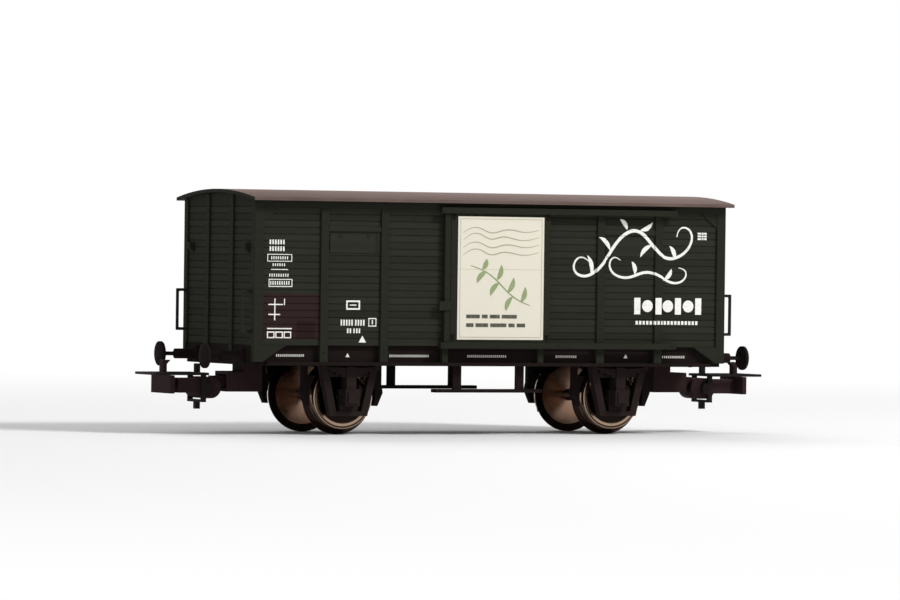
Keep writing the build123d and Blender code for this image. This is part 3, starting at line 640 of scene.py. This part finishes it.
bpy.ops.mesh.primitive_cylinder_add(vertices=BOLT_CORNERS, radius=BOLT_RADIUS, depth=BOLT_HEIGHT,
                                    location=(0, -BOLT_HEIGHT / 2, 0), rotation=UPRIGHT)
for rise in DOME_RISES:
    select_facing(bolt, (0, -1, 0))
    bpy.ops.mesh.inset(thickness=DOME_INSET)
    bpy.ops.transform.translate(value=(0, -rise, 0))
bpy.ops.object.mode_set(mode="OBJECT")
wall_bolts = [(sign * x, POST_FACE, z) for sign in MIRRORED for x in POST_X for z in POST_BOLTS_Z]
wall_bolts += [(x, RAIL_FACE, z) for x in RAIL_BOLTS_X for z in RAIL_BOLTS_Z]
set_copies("wall_bolts", bolt, wall_bolts, (NEAR, FAR), frame_green, "wagon")
lid_bolts = [(sign * AXLE_X / MM + side, LID_FACE, AXLE_Z / MM) for sign in MIRRORED for side in LID_BOLTS]
set_copies("lid_bolts", bolt, lid_bolts, (NEAR, FAR), lit_guard_plastic, "wagon")
end_bolts = [(sign * BUFFER_Y + across, BASE_FACE, BUFFER_Z + up)
             for sign in MIRRORED for across in BASE_BOLTS for up in BASE_BOLTS]
end_bolts += [(sign * y, HEADSTOCK_FACE, z)
              for sign in MIRRORED for y in HEADSTOCK_BOLTS_Y for z in HEADSTOCK_BOLTS_Z]
set_copies("end_bolts", bolt, end_bolts, (LEFT, RIGHT), chassis_plastic, "wagon")
bpy.data.objects.remove(bolt)

# End walls
# Arched planked panels with two posts, U-shaped grab handles at the corners and lamp brackets, sprayed with
# the body in the same green.
HANDLE_EDGE = 0.15
dress([f"end_wall_{end}" for end in ENDS], plank_green, PLANK_EDGE)
dress([f"end_posts_{end}" for end in ENDS], frame_green, MOULDED_EDGE)
dress([f"lamp_brackets_{end}" for end in ENDS], frame_green, MOULDED_EDGE)
dress([f"grab_handles_{end}" for end in ENDS], frame_green, HANDLE_EDGE)

# Sliding doors and rails
# A leaf on each side runs in two channels. The leaf is sprayed green and carries a flat board, sprayed cream
# and printed in three passes: soft grey lines of hills, a green sprig and dark rules.
BOARD_FACE = -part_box("door_near")[0].y
BOARD_DEPTH, BOARD_MARGIN = 0.07 * MM, 1 * MM
CREAM = "#ded9c9"
BOARD_COVER = (CREAM, {"out": (BOARD_FACE - BOARD_DEPTH, BOARD_FACE + BOARD_MARGIN)})
door_paint = sprayed_paint("green_and_cream_door_paint", FRAME_DEEP, FRAME_PALE, roughness=0.62,
                           specular=0.015, covers=[BOARD_COVER])
dress([f"door_rails_{side}" for side in SIDES], frame_green, THIN_EDGE)
dress([f"door_{side}" for side in SIDES], door_paint, PLANK_EDGE)

board_lines = start_piece("board_lines_near")
add_frame(-6.9, 8.8, 17.0, 37.5, line=0.09)
add_bar(-7.2, 9.1, 28.75, 28.8)
bpy.ops.object.mode_set(mode="OBJECT")
for lift, bow in ((0.0, 1.0), (1.3, 0.8), (2.6, 1.2), (3.9, 0.7)):
    hills = [(-6.3, 31.2 + lift), (-4.0, 32.2 + lift + bow), (-1.4, 30.6 + lift), (1.0, 31.0 + lift + bow),
             (3.4, 32.6 + lift - bow), (5.8, 31.0 + lift), (8.2, 31.8 + lift)]
    add_stroke(board_lines, hills, 0.22, swell(len(hills), 0.4))
board_sprig = start_piece("board_sprig_near")
bpy.ops.object.mode_set(mode="OBJECT")
STEM = [(6.6, 22.6), (4.6, 23.2), (2.4, 24.6), (0.4, 26.8), (-2.0, 28.6), (-4.8, 29.4)]
SPRIG_LEAVES = [((4.8, 23.2), (5.6, 25.8)), ((3.2, 24.0), (2.0, 21.6)), ((2.2, 24.8), (3.4, 27.4)),
                ((0.6, 26.4), (-1.0, 24.2)), ((0.2, 27.0), (1.0, 29.6)), ((-1.8, 28.4), (-3.6, 26.4)),
                ((-2.6, 28.8), (-1.8, 30.6))]
add_stroke(board_sprig, STEM, 0.26, swell(len(STEM), 0.5))
for foot, tip in SPRIG_LEAVES:
    add_leaf(board_sprig, foot, tip, 1.05)
board_rules = start_piece("board_rules_near")
add_dashes(-5.6, 20.3, 0.65, (2.6, 1.1, 1.9, 2.9), gap=0.4)
add_dashes(-5.6, 18.8, 0.65, (1.4, 2.4, 3.1, 1.2, 1.6), gap=0.4)
bpy.ops.object.mode_set(mode="OBJECT")
DOOR_BODIES = ("sliding_door_near", "sliding_door_far")
for order, (board_print, far_name, ink) in enumerate((
    (board_lines, "board_lines_far", printing_ink("grey_printing_ink", "#a9a28f", CREAM)),
    (board_sprig, "board_sprig_far", printing_ink("green_printing_ink", "#8c9a6e", CREAM)),
    (board_rules, "board_rules_far", printing_ink("dark_printing_ink", "#4a4a40", CREAM)),
)):
    proud = INK_PROUD + order * OVERPRINT
    print_on(board_print, frame["nodes"]["door_near"], far_name, ink, DOOR_BODIES, proud)

# Door hangers
# Small tapered straps at the corners of each leaf, which hook it into the rails above and below. They are
# moulded with the leaf and given the black chassis plastic, a painted shadow for the shade cast at the leaf's
# corners.
LEAF_FACE = -16.35
HANGER_X, HANGER_Z = (-8.05, 9.95), (37.75, 17.0)
HANGER_SIZE, HANGER_TAPER = (0.8, 0.1, 1.0), 0.45
hanger = small_plate("hanger", HANGER_SIZE, HANGER_TAPER)
hanger_spots = [(x, LEAF_FACE, z) for x in HANGER_X for z in HANGER_Z]
for side, turn in zip(SIDES, (NEAR, FAR)):
    # The black plastic on these straps is painted shadow at the leaf's corners.
    set_copies(f"door_hangers_{side}", hanger, hanger_spots, [turn], chassis_plastic,
               f"sliding_door_{side}")
bpy.data.objects.remove(hanger)

# Roof
# One arched moulding sprayed matt grey-brown. Its colour is painted lighter at the crown and darker and
# redder towards the eaves, painted light and shade of the curve. The ends' edges and the underside are
# painted nearly black, a painted shade.
CROWN_OUT, EAVES_OUT = 6 * MM, 17 * MM
# The crown tone is a painted highlight, the eaves tone painted shade, the nearly black tone painted shade on
# the ends' edges and underside; the dust is real.
CROWN_LIGHT_TONE, EAVES_SHADE_TONE, DUST, END_AND_UNDERSIDE_SHADE = "#7d6a65", "#5e4d48", "#86766f", "#1d1b19"
DUST_WIDTH, DUST_STRETCH, DUST_SHARE = 1.5 * MM, 0.3, 0.25
# The grit of the matt paint is finer than this; it is drawn just coarse enough to show
GRIT_WIDTH, GRIT_DEPTH = 0.1 * MM, 0.02 * MM
ROOF_EDGE = 0.1
roof_paint = new_material("matt_roof_paint")
coordinates = add_node(roof_paint, "TexCoord").outputs["Object"]
place = add_node(roof_paint, "SeparateXYZ", {"Vector": coordinates})
out = add_node(roof_paint, "Math", {0: place.outputs["Y"]}, operation="ABSOLUTE")
# Share of painted shade, from none at the crown to full at the eaves
thin = add_node(roof_paint, "MapRange", {
    "Value": out.outputs[0], "From Min": CROWN_OUT, "From Max": EAVES_OUT,
})
along = add_node(roof_paint, "Mapping", {"Vector": coordinates, "Scale": (DUST_STRETCH, 1, 1)})
dust = add_node(roof_paint, "TexNoise", {
    "Vector": along.outputs["Vector"], "Scale": 1 / DUST_WIDTH, "Detail": 6.0,
})
grit = add_node(roof_paint, "TexNoise", {"Vector": coordinates, "Scale": 1 / GRIT_WIDTH, "Detail": 2.0})
coat = add_node(roof_paint, "Mix", {
    "Factor": thin.outputs["Result"], COLOUR_A: linear(CROWN_LIGHT_TONE), COLOUR_B: linear(EAVES_SHADE_TONE),
}, data_type="RGBA")
patchy = add_node(roof_paint, "MapRange", {
    "Value": dust.outputs["Fac"], "From Min": NOISE_LOW, "From Max": NOISE_HIGH,
    "To Min": 0.0, "To Max": DUST_SHARE,
})
dusty = add_node(roof_paint, "Mix", {
    "Factor": patchy.outputs["Result"], COLOUR_A: coat.outputs[COLOUR_OUT], COLOUR_B: linear(DUST),
}, data_type="RGBA")
normal = add_node(roof_paint, "NewGeometry").outputs["Normal"]
facing = add_node(roof_paint, "SeparateXYZ", {"Vector": normal})
endwise = add_node(roof_paint, "Math", {0: facing.outputs["X"]}, operation="ABSOLUTE")
not_end = add_node(roof_paint, "MapRange", {
    "Value": endwise.outputs[0], "From Min": 0.4, "From Max": 0.7, "To Min": 1.0, "To Max": 0.0,
})
not_under = add_node(roof_paint, "MapRange", {
    "Value": facing.outputs["Z"], "From Min": -0.6, "From Max": -0.3,
})
# 1 on the lit top, 0 on the ends' edges and the underside, where the painted shade goes
outside_shade = add_node(roof_paint, "Math", {0: not_end.outputs["Result"], 1: not_under.outputs["Result"]},
                  operation="MULTIPLY")
tone = add_node(roof_paint, "Mix", {
    "Factor": outside_shade.outputs[0], COLOUR_A: linear(END_AND_UNDERSIDE_SHADE), COLOUR_B: dusty.outputs[COLOUR_OUT],
}, data_type="RGBA")
bump = add_node(roof_paint, "Bump", {
    "Height": grit.outputs["Fac"], "Strength": 0.3, "Distance": GRIT_DEPTH,
})
film = add_node(roof_paint, "BsdfPrincipled", {
    "Base Color": tone.outputs[COLOUR_OUT], "Roughness": 0.75, "Specular IOR Level": 0.08,
    "Normal": bump.outputs["Normal"],
})
add_node(roof_paint, "OutputMaterial", {"Surface": film.outputs["BSDF"]})
dress(["roof"], roof_paint, ROOF_EDGE)

# Buffers
# Round heads on thin stems and sleeves, moulded in the same black-brown polystyrene as the chassis. Each is
# pressed into the headstock behind it.
dress([f"buffer_{corner}" for corner in CORNERS], chassis_plastic, THIN_EDGE)

# Couplers
# Pocket and swinging head moulded in tough black-brown plastic. The lifting loop is bent from wire under a
# black lacquer, which has the same satin skin.
COUPLER_EDGE, WIRE_EDGE = 0.1, 0.12
coupler_plastic = moulded_plastic("tough_brown_plastic", "#281c1d", "#362829", roughness=0.55, specular=0.012)
loop_metal = moulded_plastic("blackened_wire", "#1b1717", "#272221", roughness=0.5, specular=0.03)
dress([f"coupler_pocket_{end}" for end in ENDS], coupler_plastic, COUPLER_EDGE)
dress([f"coupler_head_{end}" for end in ENDS], coupler_plastic, COUPLER_EDGE)
dress([f"coupler_loop_{end}" for end in ENDS], loop_metal, WIRE_EDGE)

# Studio
# A plain pale floor of matt card that fades to white away from the wagon, so that no edge shows behind it.
# Round it stand a white surround and three soft lamps.
FLOOR_HALF = 6.0
FADE_START, FADE_END = 0.12, 0.5
WORLD_LIGHT = 0.42
WHITE = "#ffffff"


def in_view(material):
    """1 for rays that show a surface to the eye, straight, mirrored or through glass, 0 for the others."""
    path = add_node(material, "LightPath")
    mirrored = add_node(material, "Math", {
        0: path.outputs["Is Camera Ray"], 1: path.outputs["Is Glossy Ray"],
    }, operation="ADD")
    through = add_node(material, "Math", {
        0: mirrored.outputs[0], 1: path.outputs["Is Transmission Ray"],
    }, operation="ADD", use_clamp=True)
    return through.outputs[0]


bpy.context.scene.view_settings.view_transform = "Standard"
bpy.ops.object.select_all(action="DESELECT")
bpy.ops.mesh.primitive_plane_add(size=2 * FLOOR_HALF)
floor = bpy.context.object
floor.name = "studio_floor"
floor_paint = new_material("pale_floor")
place = add_node(floor_paint, "TexCoord").outputs["Object"]
reach = add_node(floor_paint, "VectorMath", {0: place}, operation="LENGTH")
fade = add_node(floor_paint, "MapRange", {
    "Value": reach.outputs["Value"], "From Min": FADE_START, "From Max": FADE_END,
}, interpolation_type="SMOOTHSTEP")
share = add_node(floor_paint, "Math", {0: in_view(floor_paint), 1: fade.outputs["Result"]},
                 operation="MULTIPLY")
matt = add_node(floor_paint, "BsdfDiffuse", {"Color": linear("#f4f4f4")})
white = add_node(floor_paint, "Emission", {"Color": linear(WHITE), "Strength": 1.0})
blend = add_node(floor_paint, "MixShader", {0: share.outputs[0], 1: matt.outputs[0], 2: white.outputs[0]})
add_node(floor_paint, "OutputMaterial", {"Surface": blend.outputs[0]})
floor.data.materials.append(floor_paint)

world = bpy.data.worlds.new("white_surround")
bpy.context.scene.world = world
world.use_nodes = True
world.node_tree.nodes.clear()
level = add_node(world, "MapRange", {"Value": in_view(world), "To Min": WORLD_LIGHT, "To Max": 1.0})
surround = add_node(world, "Background", {"Color": linear(WHITE), "Strength": level.outputs["Result"]})
add_node(world, "OutputWorld", {"Surface": surround.outputs["Background"]})

LAMPS = [
    # name, place in metres, edge in metres, watts
    ("key", (0.4, -0.5, 0.55), 0.2, 4.8),
    ("fill", (-0.4, -0.7, 0.35), 0.5, 0.3),
    ("back", (0.0, 0.6, 0.6), 0.5, 2.0),
]
AIM = Vector((0, 0, 0.02))
for name, spot, edge, watts in LAMPS:
    lamp = bpy.data.lights.new(name, "AREA")
    lamp.size = edge
    lamp.energy = watts
    holder = bpy.data.objects.new(name, lamp)
    bpy.context.scene.collection.objects.link(holder)
    holder.location = spot
    holder.rotation_mode = "QUATERNION"
    holder.rotation_quaternion = (AIM - Vector(spot)).to_track_quat("-Z", "Y")

# Camera
# A long lens held low at the wagon's left front, as far off as the photograph's own perspective gives. Its
# shift only sets the wagon where it stands in the picture.
PIVOT = Vector((0, 0, 22.0 * MM))
AZIMUTH, ELEVATION, ROLL = math.radians(-25.08), math.radians(0.56), math.radians(0.73)
DISTANCE = 1.0566
SENSOR_WIDTH, FOCAL_LENGTH = 36.0, 240.9
PICTURE_WIDTH = 900
PIVOT_RIGHT_PX, PIVOT_DOWN_PX = 5.26, 7.3
camera = bpy.data.cameras.new("camera")
camera.sensor_width = SENSOR_WIDTH
camera.lens = FOCAL_LENGTH
camera.shift_x = -PIVOT_RIGHT_PX / PICTURE_WIDTH
camera.shift_y = PIVOT_DOWN_PX / PICTURE_WIDTH
viewer = bpy.data.objects.new("camera", camera)
bpy.context.scene.collection.objects.link(viewer)
back = Vector((math.sin(AZIMUTH) * math.cos(ELEVATION), -math.cos(AZIMUTH) * math.cos(ELEVATION),
               math.sin(ELEVATION)))
viewer.location = PIVOT + back * DISTANCE
viewer.rotation_mode = "QUATERNION"
viewer.rotation_quaternion = (-back).to_track_quat("-Z", "Y") @ Quaternion((0, 0, 1), ROLL)
bpy.context.scene.camera = viewer
